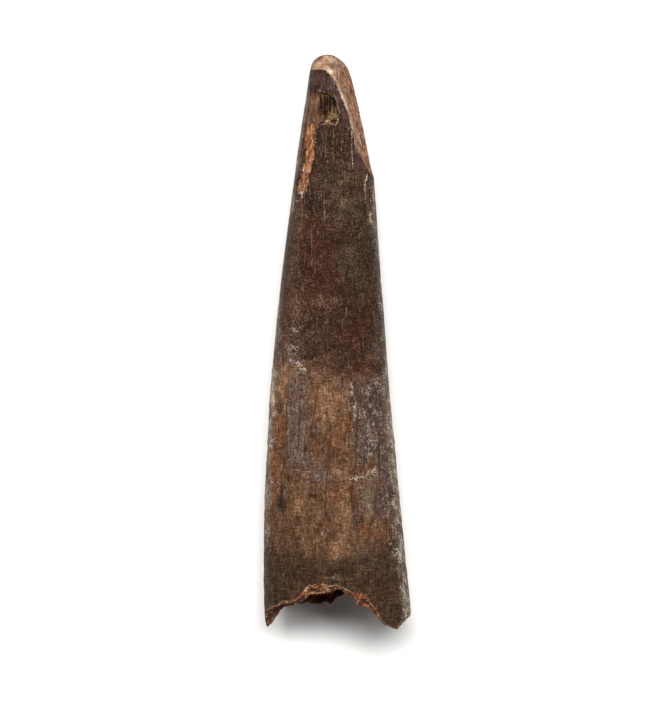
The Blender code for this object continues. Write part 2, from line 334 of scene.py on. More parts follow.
# Stains on the front: column, row, half width in columns, half length in rows, strength
FRONT_STAINS = {
    "rust": (
        (276, 430, 6, 12, 0.8), (275, 460, 7, 24, 1), (275, 488, 4, 12, 0.8),
        (283, 425, 5, 14, 0.7), (344, 425, 9, 10, 0.8), (335, 440, 9, 8, 0.7),
        (288, 394, 4, 7, 0.6), (345, 490, 9, 5, 0.9), (337, 498, 8, 10, 0.6), (366, 531, 6, 9, 0.9),
        (385, 533, 6, 8, 0.8), (322, 405, 9, 9, 0.4), (298, 150, 4, 24, 0.6),
        (300, 478, 8, 10, 0.4), (268, 510, 5, 16, 0.5), (309, 583, 13, 5, 0.9),
        (296, 592, 8, 5, 0.7), (322, 580, 7, 4, 0.6), (363, 599, 8, 6, 0.8), (372, 611, 5, 5, 0.7),
        (387, 551, 3, 8, 0.8),
    ),
    "tan": (
        (284, 378, 5, 11, 0.9), (323, 400, 12, 18, 0.6), (341, 395, 9, 14, 0.5),
        (328, 415, 12, 12, 0.4), (343, 444, 8, 12, 0.4), (299, 503, 10, 11, 0.6),
        (345, 514, 7, 22, 0.6), (340, 472, 10, 9, 0.5), (316, 476, 10, 7, 0.4),
        (337, 552, 6, 20, 0.7), (350, 482, 8, 3, 0.4), (274, 405, 3, 10, 0.5),
        (337, 553, 6, 16, 0.4), (318, 543, 9, 8, 0.4), (281, 386, 5, 13, 0.9),
        (297, 372, 7, 8, 0.5),
    ),
    "umber": (
        (293, 317.5, 11, 29, 0.8), (294, 262, 8, 35, 0.5), (286, 350, 11, 14, 0.8),
        (299, 215, 7, 22, 0.5), (324, 362, 18, 8, 0.6), (318, 298, 18, 9, 0.5),
        (349, 257, 11, 8, 0.2), (328, 335, 12, 10, 0.5), (376, 345, 8, 30, 0.4),
        (275, 550, 12, 20, 0.5),
    ),
    "oxide": (
        (323, 252, 12, 26, 0.9), (331, 280, 14, 9, 0.8), (364, 303, 11, 22, 0.9),
        (356, 336, 14, 16, 0.9), (346, 225, 9, 8, 0.3), (366, 200, 5, 20, 0.4),
        (365, 370, 14, 6, 0.6), (330, 290, 34, 45, 0.45), (360, 338, 11, 18, 0.7),
        (319, 262, 13, 22, 0.7),
    ),
    "red": (
        (336, 452, 8, 7, 0.8), (369, 533, 4, 6, 0.8), (386, 521, 5, 4, 0.7), (362, 371, 16, 5, 0.5),
        (355, 350, 7, 6, 0.6), (322, 522, 9, 9, 0.5), (334, 535, 6, 8, 0.6), (275, 478, 4, 8, 0.4),
        (305, 588, 14, 4, 0.7), (368, 606, 7, 5, 0.5), (268, 617, 5, 7, 0.6),
        (281, 574, 9, 15, 0.4),
    ),
    "moss": (
        (369, 497, 8, 13, 0.9), (366, 512, 6, 8, 0.5), (372, 476, 7, 7, 0.6), (277, 377, 3, 7, 0.9),
        (282, 413, 3, 5, 0.6), (320, 430, 9, 8, 0.5), (388, 378, 4, 18, 0.6),
        (390, 415, 4, 24, 0.5), (350, 440, 5, 8, 0.4), (372, 215, 5, 26, 0.5),
        (345, 205, 12, 12, 0.3), (370, 560, 22, 18, 0.5), (392, 455, 4, 20, 0.5),
    ),
    "grey": (
        (342, 386, 4, 3, 0.8), (355, 400, 5, 22, 0.9), (373, 395, 14, 24, 0.9),
        (375, 422, 14, 20, 0.9), (362, 427, 8, 14, 0.8), (373, 444, 13, 12, 0.8),
        (363, 456, 8, 12, 0.8), (386, 460, 8, 16, 0.9), (389, 482, 8, 16, 0.9),
        (382, 502, 10, 18, 0.8), (357, 510, 5, 22, 0.6), (298, 357, 7, 7, 0.7),
        (282, 357, 8, 8, 0.5), (376, 350, 8, 9, 0.5), (338, 219, 9, 7, 0.4), (395, 525, 6, 30, 0.6),
        (294, 336, 10, 12, 0.55),
    ),
    "olive": (
        (357, 215, 14, 18, 0.8), (352, 262, 16, 20, 0.8), (345, 300, 14, 10, 0.4),
        (363, 292, 8, 18, 0.6), (330, 182, 20, 14, 0.5), (299, 275, 8, 14, 0.5),
        (368, 335, 8, 14, 0.5),
    ),
    "mauve": (
        (296, 400, 7, 22, 0.9), (299, 427, 9.5, 26, 0.9), (294, 450, 8.5, 14, 0.9),
        (305, 463.5, 10.5, 6, 0.7), (319, 473.5, 10.5, 9, 0.6), (285, 493, 3, 6, 0.8),
        (300, 385, 7, 14, 0.8), (292, 405, 6, 22, 0.8), (302, 440, 6, 14, 0.5),
        (320, 478, 14, 7, 0.5),
    ),
    "soot": (
        (281, 505, 6, 9, 0.9), (282, 490, 2.5, 9, 0.7), (312, 495.5, 5, 1.8, 0.9),
        (326, 413, 1.7, 1.5, 1), (316, 427, 1.8, 1.7, 1), (317, 389, 1.7, 1.6, 0.8),
        (311, 408, 1.8, 1.7, 0.7), (305, 450, 2.5, 3, 0.8), (312, 463, 2, 1.6, 0.9),
        (280, 449, 1.7, 2, 0.9), (335, 456, 2.4, 1.5, 0.7), (292, 437, 3, 14, 0.5),
        (362, 519, 2.5, 5, 0.8), (354, 508, 2.2, 18, 0.5), (366, 408, 9, 2.5, 0.5),
        (365, 356, 6, 6, 0.6), (301, 374, 2, 4, 0.6), (316, 482, 6, 1.7, 0.5),
        (296, 542, 7, 6, 0.6), (284, 460, 2.5, 6, 0.6), (377, 512, 6, 5, 0.4),
        (330, 472, 1.2, 6, 0.6), (356, 165, 4, 8, 0.4), (308, 570, 14, 16, 0.5),
        (358, 556, 8, 10, 0.4),
    ),
    "chalk": (
        (274, 402, 2.5, 13, 1), (272, 391, 2, 6, 0.6), (291, 363, 1.8, 2.8, 1),
        (299, 366, 2, 2.5, 1), (303.5, 369, 3, 1.8, 1), (306, 376, 2, 4, 0.6),
        (296, 349, 3, 2, 0.5), (352, 387, 2.4, 8, 0.8), (354, 400, 2.4, 10, 0.9),
        (355, 414, 3, 4, 0.9), (377, 388, 6, 8, 0.4), (366, 379, 1.6, 1.6, 0.8),
        (364, 432, 4, 3, 0.6), (371, 438, 6, 7, 0.4), (388, 414, 4, 6, 0.5),
        (373, 447, 4, 3.5, 0.9), (353, 478, 7, 1.6, 1), (362, 477, 4, 1.8, 0.9),
        (350, 483, 3, 2.5, 0.5), (373, 472, 4.5, 6, 1), (368, 480, 6, 1.8, 0.8),
        (388, 487, 4, 6, 0.4), (396, 502, 4, 12, 1), (398, 518, 4, 12, 1), (396, 535, 5, 13, 1),
        (395, 550, 4, 8, 0.7), (366, 523, 2, 1.7, 0.9), (379, 522, 1.7, 2, 0.8),
        (302, 539, 2, 1.7, 0.9), (296, 535, 2.5, 2.5, 0.6), (321, 534, 2.5, 2, 0.8),
        (355, 514, 3, 5, 0.5), (275, 443, 3, 3, 0.9), (272, 482, 1.6, 5, 0.7),
        (284, 475, 2, 4, 0.5), (341, 377, 5, 5, 0.4), (286, 408, 2.5, 2, 0.7),
        (338, 577, 6, 5, 0.6), (336, 555, 4, 12, 0.4), (293, 205, 3, 3, 0.5),
        (295, 335, 8, 10, 0.4), (297, 366, 10, 7, 0.9), (273, 398, 5, 18, 0.9),
        (300, 334, 8, 7, 0.45), (292, 350, 7, 6, 0.5),
    ),
}
# The same kinds on the flanks and the back, scattered: how many, lowest and highest in mm
BACK_STAINS = {
    "rust": (16, 4.0, 24.0), "tan": (16, 5.0, 24.0), "umber": (12, 24.0, 46.0),
    "oxide": (16, 22.0, 48.0), "red": (12, 4.0, 30.0), "moss": (10, 6.0, 24.0),
    "grey": (14, 7.0, 46.0), "olive": (12, 24.0, 48.0), "mauve": (10, 7.0, 24.0),
    "soot": (18, 4.0, 46.0), "chalk": (26, 4.0, 27.0),
}

STAIN_FALL = 0.9  # how fast a stain falls off: e to the minus of this times the square
BACK_ANGLES = (190.0, 350.0)  # the flanks and the back, from a little past the front's edges
BACK_STAIN_WIDTHS = (0.5, 1.6)
BACK_STAIN_STRETCH = (0.7, 3.0)  # how many times longer than wide
BACK_STAIN_STRENGTHS = (0.4, 1.0)

# Cracks in the front of the root, as points (x, height) in mm from the top down
CRACKS = (
    ((-0.82, 18.9), (-0.90, 16.0), (-1.18, 12.4), (-1.31, 9.8)),
    ((1.71, 19.5), (1.49, 14.9), (1.17, 12.8), (1.26, 9.1)),
    ((3.60, 17.0), (3.70, 13.5)), ((-3.00, 18.6), (-3.10, 15.8)),
    ((-4.70, 20.8), (-4.72, 15.6), (-5.25, 13.9), (-5.40, 11.0)),
    ((-1.90, 22.2), (-2.70, 17.2)), ((-3.50, 21.5), (-3.70, 16.3)),
    ((-2.66, 13.4), (0.24, 13.2)), ((-2.66, 12.1), (-2.10, 12.1)), ((-3.50, 10.2), (-2.60, 10.3)),
    ((4.15, 12.0), (4.40, 8.1)), ((0.30, 24.0), (0.25, 21.0)),
)
CRACK_WIDTH = 0.062
CRACK_DEPTH = 0.07
BACK_CRACKS = 16
BACK_CRACK_TOPS = (9.0, 26.0)
BACK_CRACK_LENGTHS = (2.0, 8.0)
WOBBLE = 0.009  # how far a crack's middle points go to one side, in radians

# Pale scratches down the crown: column, top row, bottom row, strength
SCRATCHES = (
    (333.5, 127, 160, 0.7), (333.5, 175, 205, 0.6), (326, 149, 158, 0.5), (320.5, 130, 140, 0.3),
    (324.5, 200, 222, 1), (312, 228, 266, 1), (314, 204, 213, 0.8), (346.5, 305, 318, 0.9),
    (298, 236, 258, 0.6), (305.5, 245, 262, 0.7), (295.5, 205, 238, 0.6), (378, 300, 345, 0.7),
    (326, 160, 190, 0.5), (356.5, 175, 190, 0.5), (316, 170, 190, 0.4), (345, 165, 170, 0.5),
    (292, 200, 226, 0.6), (288.5, 225, 262, 0.7), (301.5, 196, 216, 0.9), (306, 205, 225, 0.5),
    (310, 180, 205, 0.4), (341, 130, 160, 0.3), (331, 215, 230, 0.4), (342, 300, 312, 0.5),
    (352, 245, 262, 0.3), (320, 300, 318, 0.3), (363, 330, 352, 0.6), (372, 250, 290, 0.4),
    (338.5, 195, 214, 0.5), (297.5, 266, 300, 0.4), (290, 290, 320, 0.4),
)
SCRATCH_WIDTH = 0.05
STRAY_SCRATCHES = 150
STRAY_TOPS = (27.0, 49.0)
STRAY_LENGTHS = (0.5, 3.5)
STRAY_LEAN = 0.01  # how far it ends to one side, in radians
STRAY_STRENGTHS = (0.25, 0.7)


def smoothstep(low, high, value):
    """Eases from 0 at low to 1 at high: 3s^2 - 2s^3 of the share s of the way."""
    share = np.clip((value - low) / (high - low), 0.0, 1.0)
    return share * share * (3.0 - 2.0 * share)


def lattice_noise(points, seed):
    """Random numbers from -1 to 1 on a unit lattice, eased between a cell's eight corners."""
    base = np.floor(points).astype(np.int64)
    ease = points - base
    ease = ease * ease * (3.0 - 2.0 * ease)
    total = np.zeros(points.shape[:-1])
    for corner in itertools.product((0, 1), repeat=3):
        cell = base + np.array(corner)
        key = cell[..., 0] * 73856093 ^ cell[..., 1] * 19349663 ^ cell[..., 2] * 83492791
        key = (key ^ (seed * 40503)) & 0xFFFFFFFF
        key = ((key ^ (key >> 13)) * 1274126177) & 0xFFFFFFFF
        key = ((key ^ (key >> 16)) * 2246822519) & 0xFFFFFFFF
        value = ((key >> 8) & 0xFFFF) / 32767.5 - 1.0
        weight = np.prod(np.where(np.array(corner) == 1, ease, 1.0 - ease), axis=-1)
        total += value * weight
    return total


def fractal_noise(points, octaves, seed):
    """Lattice noise summed over octaves, each twice as fine and half as strong."""
    total = np.zeros(points.shape[:-1])
    for octave in range(octaves):
        total += 0.5**octave * lattice_noise(points * 2.0**octave, seed + 31 * octave)
    return total / 1.5


def half_width(height):
    """The taper: full at the root, and thinner by a power of the height."""
    drop = ROOT_HALF_WIDTH - TIP_HALF_WIDTH
    return ROOT_HALF_WIDTH - drop * (np.maximum(height, 0.0) / CROWN_HEIGHT) ** TAPER_POWER


def depth_share(height):
    """How deep the section is for its width."""
    return ROOT_DEPTH_SHARE + (TIP_DEPTH_SHARE - ROOT_DEPTH_SHARE) * height / CROWN_HEIGHT


def bow(height):
    """How far the centreline stands off to the left."""
    along = np.clip(height / CROWN_HEIGHT, 0.0, 1.0)
    return -SIDE_BOW * np.sin(math.pi * along**BOW_SKEW)


def middle_height(height):
    """How high the section's centre is: its half depth, on top of the arched back."""
    along = np.clip((height - ARCH_START) / (ARCH_END - ARCH_START), 0.0, 1.0)
    arch = ARCH_RISE * np.sin(math.pi * along) - FLAT_DEPTH
    return half_width(height) * depth_share(height) + arch


def round_the_edge(table, angle):
    """A table's lengths at angles in radians, joined up straight from point to point."""
    angles, lengths = zip(*table)
    return np.interp(np.degrees(angle), angles, lengths, period=360.0)


def placed(points):
    """Points (column, row) of the camera's frame as places (x, height) on the tooth in mm."""
    return [((column - AXIS_COLUMN) * PIXEL, (EDGE_ROW - row) * PIXEL) for column, row in points]


def front_angle(x, height):
    """The angle at which the front stands at x: the arc cosine of its share of the width."""
    return np.arccos(np.clip((x - bow(height)) / half_width(height), -0.999, 0.999))


def nearer(near, right, rise, run, climb):
    """The lesser of a distance and the one from a stretch that runs and climbs.

    Right and rise are how far a point is from its start. The stretch's nearest place is at
    the share (right * run + rise * climb) / (run^2 + climb^2) of it, kept from 0 to 1.
    """
    share = np.clip((right * run + rise * climb) / (run**2 + climb**2 + TINY), 0.0, 1.0)
    return np.minimum(near, np.hypot(right - share * run, rise - share * climb))


class Skin:
    """The outer surface: for each point its angle, height, place and turning radius."""

    def __init__(self, angle, height, place):
        self.angle = angle
        self.height = height
        self.place = place
        share = depth_share(height)
        self.turn_radius = half_width(height) * np.hypot(np.sin(angle), share * np.cos(angle))

    def off(self, angle):
        """The arc length from an angle, the short way round."""
        turn = np.mod(self.angle - angle + math.pi, 2.0 * math.pi) - math.pi
        return turn * self.turn_radius

    def wander(self, name):
        """Fractal noise by its row: the place over the lumps' sizes, in three octaves."""
        size, along, number = NOISES[name]
        return fractal_noise(self.place / np.array([size, size * along, size]), 3, SEED + number)

    def blot(self, angle, height, wide, long, strength):
        """A soft oval that falls off by STAIN_FALL with the squared distance in its radii."""
        far = (self.off(angle) / wide) ** 2 + ((self.height - height) / long) ** 2
        return strength * np.exp(-STAIN_FALL * far)

    def line(self, points, width):
        """A thin line through points (angle, height), fading as a bell with its width."""
        near = np.full(self.height.shape, FAR_OFF)
        for (angle_a, height_a), (angle_b, height_b) in zip(points, points[1:]):
            across = self.off(angle_a)
            run, climb = across - self.off(angle_b), height_b - height_a
            near = nearer(near, across, self.height - height_a, run, climb)
        return np.exp(-((near / width) ** 2))

    def seen_distance(self, points):
        """The distance from a line through points (x, height), seen from straight above."""
        near = np.full(self.height.shape, FAR_OFF)
        for (x_a, height_a), (x_b, height_b) in zip(points, points[1:]):
            right, rise = self.place[..., 0] - x_a, self.place[..., 1] - height_a
            near = nearer(near, right, rise, x_b - x_a, height_b - height_a)
        return near

    def seen_lines(self, table):
        """Lines as (half width, strength, frame points...), each fading as a bell; the most."""
        most = np.zeros(self.height.shape)
        for width, strength, *points in table:
            bell = strength * np.exp(-((self.seen_distance(placed(points)) / width) ** 2))
            most = np.maximum(most, bell)
        return most * (np.sin(self.angle) > 0.0)

    def seen_patch(self, corners, softness, ragged):
        """1 inside an outline of corners in the frame, 0 outside, with an uneven border."""
        corners = placed(corners)
        x, height = self.place[..., 0], self.place[..., 1]
        inside = np.zeros(x.shape, dtype=bool)
        for (x_a, height_a), (x_b, height_b) in zip(corners, corners[1:] + corners[:1]):
            between = (height_a > height) != (height_b > height)
            climb = height_b - height_a + TINY
            inside ^= between & (x < x_a + (height - height_a) * (x_b - x_a) / climb)
        off = self.seen_distance(corners + corners[:1])
        signed = np.where(inside, off, -off) + ragged * self.wander("notches")
        return smoothstep(-softness, softness, signed) * (np.sin(self.angle) > 0.0)


def outer_rows():
    """The rows of the outside, as heights before the broken edge lifts them and radius shares.

    The cap's rows follow a blunt quarter ellipse: height as cos^(2/p), radius as sin^(2/p).
    """
    turn = np.linspace(0.0, math.pi / 2.0, CAP_ROWS + 1)[1:]
    cap_heights = CROWN_HEIGHT - CAP_HEIGHT * (1.0 - np.cos(turn) ** (2.0 / CAP_POWER))
    cap_shares = np.sin(turn) ** (2.0 / CAP_POWER)
    stretches = [
        np.linspace(CROWN_HEIGHT - CAP_HEIGHT, CROWN_END, CROWN_ROWS + 1)[1:],
        np.linspace(CROWN_END, MIDDLE_END, MIDDLE_ROWS + 1)[1:],
        np.linspace(MIDDLE_END, 0.0, EDGE_ROWS + 1)[1:],
    ]
    heights = np.concatenate([cap_heights, *stretches])
    shares = np.ones(len(heights))
    shares[:CAP_ROWS] = cap_shares
    return heights, shares


def column_angles():
    """The columns' angles: evenly spaced, then drawn towards the front by a cosine."""
    even = np.linspace(0.0, 2.0 * math.pi, COLUMNS, endpoint=False)
    return even + FRONT_CROWDING * np.cos(even)


def edge_lifts(angle):
    """How high the break stands at the cavity's rim and at the skin, with a crumbly line.

    In front the rim stands as high as the skin's edge does at the same place across, so
    the broken wall faces the root; where skin is lost, its edge stands higher than that.
    """
    ring = np.column_stack([np.cos(angle), np.sin(angle), np.zeros(len(angle))])
    crumble = EDGE_CRUMBLE * fractal_noise(ring * CRUMBLE_BUMPS, 5, SEED + 1)
    above_rim = np.arccos(np.cos(angle) * (ROOT_HALF_WIDTH - WALL) / ROOT_HALF_WIDTH)
    rim_angle = np.where(np.sin(angle) > 0.0, above_rim, angle)
    inner = round_the_edge(BROKEN_EDGE, rim_angle) + crumble
    nibble = fractal_noise(ring * NIBBLE_BUMPS + 5.0, 4, SEED + 2)
    loss = round_the_edge(SKIN_LOSS, angle)
    loss = loss + NIBBLE_DEPTH * nibble * np.maximum(loss, 0.0)
    outer = round_the_edge(BROKEN_EDGE, angle) + crumble + loss
    return np.maximum(inner, LEAST_LIFT), np.maximum(outer, LEAST_LIFT)


def lifted(heights, lift):
    """Heights plus the broken edge's lift, which fades with a square up to EDGE_REACH."""
    fade = np.clip(1.0 - heights / EDGE_REACH, 0.0, 1.0) ** 2
    return heights[:, None] + lift[None, :] * fade[:, None]


def section_place(angle, height, radius):
    """The oval section at a height: bow and cosine across, middle and sine upwards."""
    x = bow(height) + radius * np.cos(angle)
    z = middle_height(height) + radius * np.sin(angle) * depth_share(height)
    return np.stack([x, height, np.maximum(z, 0.0)], axis=-1)


def beyond(place, point, normal):
    """How far places stand out of a plane through a point, and the plane's unit normal."""
    normal = np.array(normal) / np.linalg.norm(normal)
    return (place - np.array(point)) @ normal, normal


def worn_depth(out, corner):
    """How much wears off what stands out: (out + root of (out^2 + corner^2)) / 2, cut short."""
    worn = 0.5 * (out + np.hypot(out, corner)) - 0.1 * corner
    return np.maximum(worn, 0.0)


def wear_down(skin, fields):
    """Takes the facet, the dome and the worn apex off the skin, and marks the facet.

    The facet is a trough: its depth is the dish times 1 minus the squared share of its
    half width, measured from the tooth's centreline across the plane. Near the line of its
    left border it is shifted by what the skin there stands out of the plane, so that the
    border comes to lie on that line.
    """
    ragged = skin.wander("facet")
    foot_x, foot_height, foot_slope = FACET_FOOT
    foot = foot_height + foot_slope * np.clip(skin.place[..., 0] - foot_x, *FACET_FOOT_SPAN)
    uneven_height = skin.height + FACET_FOOT_RAGGED * ragged
    reach = smoothstep(foot - FACET_FOOT_LENGTH, foot, uneven_height)
    out, normal = beyond(skin.place, FACET_POINT, FACET_NORMAL)
    tip = np.array([0.0, 1.0, 0.0]) - normal * normal[1]
    height = skin.height
    centre = np.stack([bow(height), height, middle_height(height)], axis=-1)
    side = (skin.place - centre) @ np.cross(tip / np.linalg.norm(tip), normal)
    dish = FACET_DISH * np.clip(1.0 - (side / FACET_HALF_WIDTH) ** 2, 0.0, 1.0)
    x_line, height_line = zip(*LIP[::-1])
    lip_x = np.interp(height, height_line, x_line)
    from_lip = (skin.place[..., 0] - lip_x) / LIP_PULL
    lip_angle = front_angle(lip_x, height)
    lip_place = section_place(lip_angle, height, half_width(height))
    lip_out, _ = beyond(lip_place, FACET_POINT, FACET_NORMAL)
    pull = np.exp(-(from_lip**2)) * (np.sin(skin.angle) > 0.0)
    out = out + dish - (lip_out + FACET_DISH) * pull + FACET_ROUGHNESS * ragged
    skin.place -= (worn_depth(out, FACET_CORNER) * reach)[..., None] * normal
    fields["facet"] = smoothstep(*FACET_BORDER, out) * smoothstep(0.15, 0.7, reach)

    for point, plane in ((DOME_POINT, DOME_NORMAL), (APEX_POINT, APEX_NORMAL)):
        out, normal = beyond(skin.place, point, plane)
        skin.place -= worn_depth(out, APEX_CORNER)[..., None] * normal


def chip_away(skin, fields):
    """Marks the patches, crests and grooves, and says how deep the chips at the tip are.

    The deeper of the pit, with its grooves and its gold rise, and its apron counts. The
    spall's depth is added to that, and the crests stand out of it.
    """
    streaks = skin.wander("streaks")
    lumps = skin.wander("chips")
    for name, outlines in PATCHES.items():
        patches = [skin.seen_patch(*outline) for outline in outlines]
        fields[name] = np.maximum(patches[0], patches[-1])
    fields["pale"] = skin.seen_lines(PALE_LINES)
    fields["shaded_groove"] = skin.seen_lines(SHADED_GROOVES)
    depth = PIT_DEPTH * fields["pit"] * (1.0 + 0.20 * streaks + 0.15 * lumps)
    depth = depth + GROOVE_DEPTH * fields["shaded_groove"] - GOLD_RISE * fields["gold"]
    depth = np.maximum(depth, APRON_DEPTH * fields["apron"])
    depth = depth + SPALL_DEPTH * fields["ember"] * (1.0 + 0.6 * streaks)
    return depth - CREST_RISE * fields["pale"] * (1.0 + lumps)


def front_stains(skin, kind):
    """All the stains of a kind as seen from above: 1 minus the product of what each leaves clear.

    A stain is an oval: how strong it is falls off by STAIN_FALL with the squared distance in
    its radii. All of them fade out a little below the widest line of the flanks.
    """
    column = AXIS_COLUMN + skin.place[..., 0] / PIXEL
    row = EDGE_ROW - skin.place[..., 1] / PIXEL
    clear = np.ones(skin.height.shape)
    for middle_column, middle_row, wide, long, strength in FRONT_STAINS[kind]:
        far = ((column - middle_column) / wide) ** 2 + ((row - middle_row) / long) ** 2
        clear = clear * (1.0 - strength * np.exp(-STAIN_FALL * far))
    return (1.0 - clear) * smoothstep(-0.4, 0.0, np.sin(skin.angle))


def back_stains(skin, kind, chance):
    """Stains scattered over the flanks and the back: 1 minus what they leave clear together."""
    count, lowest, highest = BACK_STAINS[kind]
    clear = np.ones(skin.height.shape)
    for _ in range(count):
        angle = math.radians(chance.uniform(*BACK_ANGLES))
        height = chance.uniform(lowest, highest)
        wide = chance.uniform(*BACK_STAIN_WIDTHS)
        long = wide * chance.uniform(*BACK_STAIN_STRETCH)
        strength = chance.uniform(*BACK_STAIN_STRENGTHS)
        clear = clear * (1.0 - skin.blot(angle, height, wide, long, strength))
    return 1.0 - clear


def wobbled(line, chance):
    """A line with three points put into each stretch, and all but its first moved aside a bit."""
    bent = [line[0]]
    for (angle_a, height_a), (angle_b, height_b) in zip(line, line[1:]):
        for share in (0.25, 0.5, 0.75, 1.0):
            angle = angle_a + (angle_b - angle_a) * share + chance.normal(0.0, WOBBLE)
            bent.append((angle, height_a + (height_b - height_a) * share))
    return bent


def stain(skin, fields, outer_lift):
    """Fills the other fields that colour follows, from the stains to the dust, which is partly a
    painted sheen on the flanks, and the scratches.
    """
    chance = np.random.default_rng(SEED)
    for kind in FRONT_STAINS:
        front, back = front_stains(skin, kind), back_stains(skin, kind, chance)
        fields[kind] = 1.0 - (1.0 - front) * (1.0 - back)

    across = np.cos(skin.angle)
    middle, slope, ragged = ROOT_EDGE
    edge = middle + slope * across + ragged * skin.wander("root_edge")
    fields["root"] = 1.0 - smoothstep(edge - ROOT_FADE[0], edge + ROOT_FADE[1], skin.height)
    middle, rise, ragged = FOOT_EDGE
    edge = middle + rise * across**2 + ragged * skin.wander("foot_edge")
    fields["foot"] = 1.0 - smoothstep(edge - FOOT_FADE[0], edge + FOOT_FADE[1], skin.height)
    band_x, band_width, band_end = BRUSHED_BAND
    band = np.exp(-(((skin.place[..., 0] - band_x) / band_width) ** 2)) * (skin.height > band_end)
    brushed = np.maximum(smoothstep(*BRUSHED, skin.height), band)
    least, most = BRUSHED_COVER
    brushed = least + (most - least) * brushed
    fields["brushed"] = brushed * (1.0 - fields["root"]) * (1.0 - fields["facet"])
    fields["edge_lip"] = np.exp(-(((skin.height - outer_lift) / LIP_HEIGHT) ** 2))

    # Pale dust and painted sheen on the flanks, strongest at their edges as seen from above
    dust_and_sheen_cover = DUST_SHEEN_COVER + DUST_SHEEN_WANDER * skin.wander("dust_and_sheen")
    dust_and_sheen_cover = dust_and_sheen_cover * (DUST_SHEEN_ON_CROWN + (1.0 - DUST_SHEEN_ON_CROWN) * fields["root"])
    dust_and_sheen_cover = dust_and_sheen_cover * (1.0 - (1.0 - DUST_SHEEN_ON_FOOT) * fields["foot"] * (across < 0.0))
    right, left = smoothstep(*DUST_SHEEN_RIGHT, across), smoothstep(*DUST_SHEEN_LEFT, -across)
    fields["dust_and_sheen"] = np.where(across > 0.0, right, left) * np.clip(dust_and_sheen_cover, 0.0, 1.0)

    cracks = np.zeros(skin.height.shape)
    for points in CRACKS:
        line = [(front_angle(x, height), height) for x, height in points]
        cracks = np.maximum(cracks, skin.line(wobbled(line, chance), CRACK_WIDTH))
    for _ in range(BACK_CRACKS):
        angle = math.radians(chance.uniform(*BACK_ANGLES))
        top = chance.uniform(*BACK_CRACK_TOPS)
        bottom = top - chance.uniform(*BACK_CRACK_LENGTHS)
        line = wobbled([(angle, top), (angle, max(bottom, 1.0))], chance)
        cracks = np.maximum(cracks, skin.line(line, CRACK_WIDTH))
    slant, drop = PORE_SLANT
    pores = [
        (width, strength, (column, row), (column + slant, row + drop))
        for column, row, width, strength in PORES
    ]
    fields["crack"] = np.maximum(cracks, skin.seen_lines(pores))

    scratches = np.zeros(skin.height.shape)
    for column, top, bottom, strength in SCRATCHES:
        ends = placed([(column, top), (column, bottom)])
        line = [(front_angle(x, height), height) for x, height in ends]
        scratches = np.maximum(scratches, strength * skin.line(line, SCRATCH_WIDTH))
    for _ in range(STRAY_SCRATCHES):
        angle = chance.uniform(0.0, 2.0 * math.pi)
        top = chance.uniform(*STRAY_TOPS)
        end = angle + chance.normal(0.0, STRAY_LEAN)
        line = [(angle, top), (end, top - chance.uniform(*STRAY_LENGTHS))]
        strength = chance.uniform(*STRAY_STRENGTHS)
        scratches = np.maximum(scratches, strength * skin.line(line, SCRATCH_WIDTH))
    fields["scratch"] = scratches


def relief(skin, fields):
    """How far the skin stands below its smooth form: noises, cracks, soot, and less for chalk."""
    root = fields["root"]
    depth = CRACK_DEPTH * fields["crack"] + SOOT_DEPTH * fields["soot"] * root
    for name, (on_crown, more_on_root) in RELIEF.items():
        depth = depth + (on_crown + more_on_root * root) * skin.wander(name)
    return depth - CHALK_RISE * fields["chalk"] * root


def break_rows(angle, inner_lift, outer_lift):
    """The broken face between the skin and the cavity: a straight blend made lumpy."""
    share = np.linspace(0.0, 1.0, BREAK_ROWS + 2)[1:-1, None]
    height = outer_lift + (inner_lift - outer_lift) * share
    radius = ROOT_HALF_WIDTH + (cavity_radius(0.0) - ROOT_HALF_WIDTH) * share
    place = section_place(angle[None, :], height, radius)
    lumps = fractal_noise(place / BREAK_LUMP, 3, SEED + 12) * np.sin(math.pi * share)
    place[..., 1] += BREAK_ROUGHNESS * lumps
    return place


def cavity_radius(height):
    """The pulp cavity: the wall's thickness inside the taper, closing to a point."""
    share = np.clip(1.0 - height / CAVITY_HEIGHT, 0.0, 1.0) ** CAVITY_POWER
    return (half_width(height) - WALL) * share


def cavity_rows(angle, inner_lift):
    """The cavity from its rim up to its point, roughened by old matrix that clings to it."""
    share = np.linspace(0.0, 1.0, CAVITY_ROWS + 1)[:-1] ** CAVITY_CROWDING
    heights = CAVITY_HEIGHT * share
    height = lifted(heights, inner_lift)
    radius = np.broadcast_to(cavity_radius(heights)[:, None], height.shape)
    place = section_place(angle[None, :], height, radius)
    rough = fractal_noise(place / CAVITY_LUMP, 4, SEED + 13)
    rough = rough * smoothstep(0.0, CAVITY_RIM, heights)[:, None]
    return section_place(angle[None, :], height, radius * (1.0 + CAVITY_ROUGHNESS * rough))


def tooth_surface():
    """All rows from the apex down the skin, over the break and up the cavity, and the fields."""
    angle = column_angles()
    inner_lift, outer_lift = edge_lifts(angle)
    heights, shares = outer_rows()
    height = lifted(heights, outer_lift)
    radius = np.broadcast_to((half_width(heights) * shares)[:, None], height.shape)
    angles = np.broadcast_to(angle[None, :], height.shape)
    skin = Skin(angles, height, section_place(angles, height, radius))
    fields = {}
    wear_down(skin, fields)
    depth = chip_away(skin, fields)
    stain(skin, fields, outer_lift)
    depth = (depth + relief(skin, fields)) * shares[:, None]
    outwards = np.stack([depth_share(height) * np.cos(angles), 0.0 * height, np.sin(angles)], -1)
    outwards /= np.linalg.norm(outwards, axis=-1, keepdims=True)
    skin.place = skin.place - depth[..., None] * outwards
    skin.place[..., 2] = np.maximum(skin.place[..., 2], 0.0)

    broken = break_rows(angle, inner_lift, outer_lift)
    cavity = cavity_rows(angle, inner_lift)
    rows = np.concatenate([skin.place, broken, cavity])
    apex = skin.place[0].mean(axis=0)
    inner_apex = section_place(0.0, np.float64(CAVITY_HEIGHT), 0.0)
    return rows, apex, inner_apex, fields


